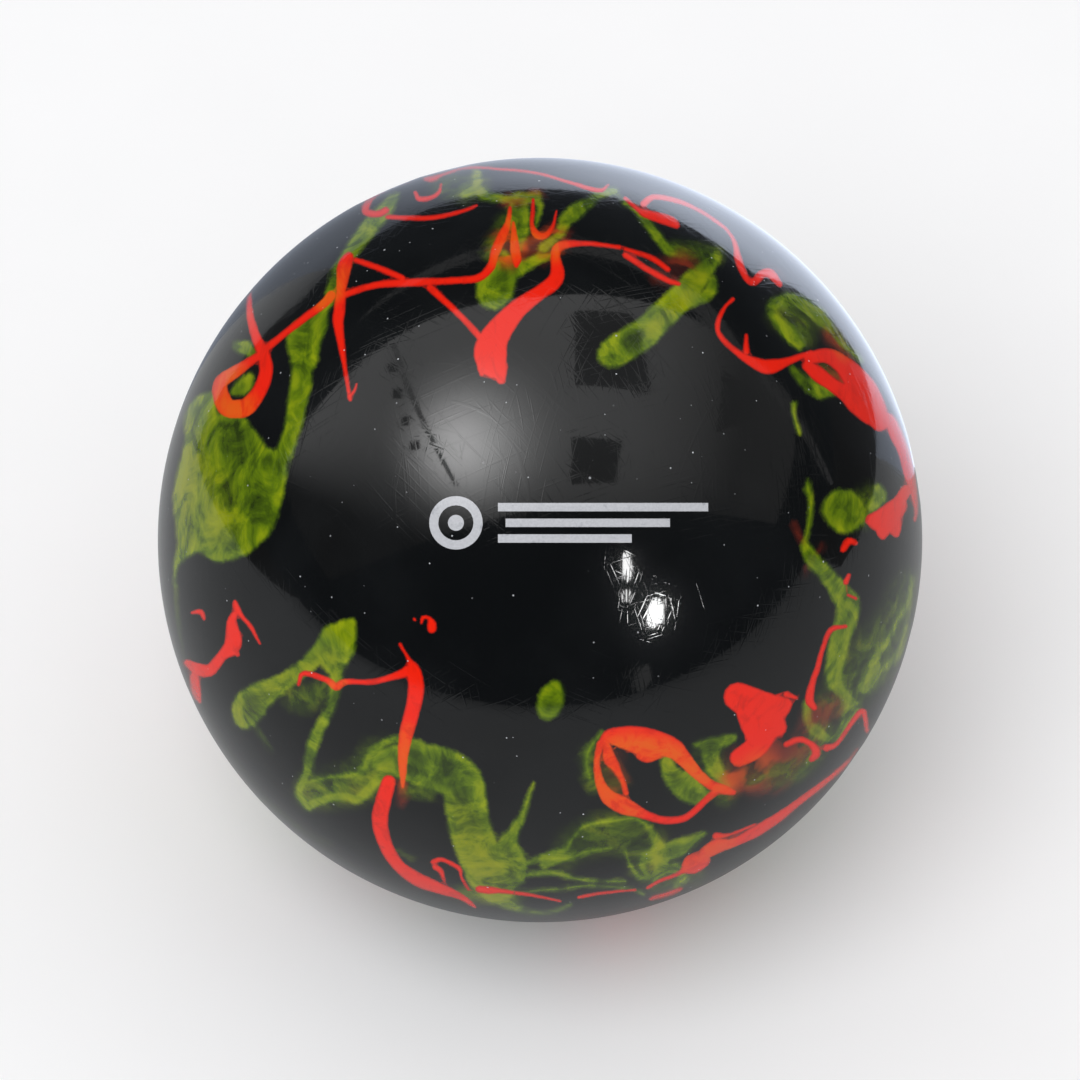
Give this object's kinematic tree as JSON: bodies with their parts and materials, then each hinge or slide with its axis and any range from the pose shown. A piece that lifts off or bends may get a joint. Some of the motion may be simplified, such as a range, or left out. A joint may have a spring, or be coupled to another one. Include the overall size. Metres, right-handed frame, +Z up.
{
  "type": "field hockey ball",
  "caption": "Smooth solid hockey ball: a cork-and-rubber core in a glossy black plastic cover, marbled with red and green streaks, with a small printed mark.",
  "frame": {"origin": "the ball's centre", "axes": "+Z up. The printed side faces -Y and upwards, 50 degrees above level, and +X runs along the printed lines. The lowest point is on -Z."},
  "size_m": [0.073, 0.073, 0.073],
  "materials": {
    "cover": "polished black PVC",
    "streak_red": "polished red PVC",
    "streak_green": "polished olive-green PVC",
    "print_ink": "silver-grey pad-printing ink under the gloss",
    "core": "cork granules bound in rubber"
  },
  "bodies": {
    "root": {"core": "core", "cover_front": "cover", "cover_rear": "cover", "red_streak_01": "streak_red", "red_streak_02": "streak_red", "red_streak_03": "streak_red", "red_streak_04": "streak_red", "red_streak_05": "streak_red", "red_streak_06": "streak_red", "red_streak_07": "streak_red", "red_streak_08": "streak_red", "red_streak_09": "streak_red", "red_streak_10": "streak_red", "red_streak_11": "streak_red", "red_streak_12": "streak_red", "red_streak_13": "streak_red", "green_streak_01": "streak_green", "green_streak_02": "streak_green", "green_streak_03": "streak_green", "green_streak_04": "streak_green", "green_streak_05": "streak_green", "green_streak_06": "streak_green", "green_streak_07": "streak_green", "green_streak_08": "streak_green", "green_streak_09": "streak_green", "green_streak_10": "streak_green", "green_streak_11": "streak_green", "green_streak_12": "streak_green", "green_streak_13": "streak_green", "green_streak_14": "streak_green", "green_streak_15": "streak_green", "green_streak_16": "streak_green", "green_streak_17": "streak_green", "green_streak_18": "streak_green", "green_streak_19": "streak_green", "green_streak_20": "streak_green", "green_streak_21": "streak_green", "green_streak_22": "streak_green", "print_dot": "print_ink", "print_line_bottom": "print_ink", "print_line_middle": "print_ink", "print_line_top": "print_ink", "print_ring": "print_ink"}
  },
  "joints": []
}
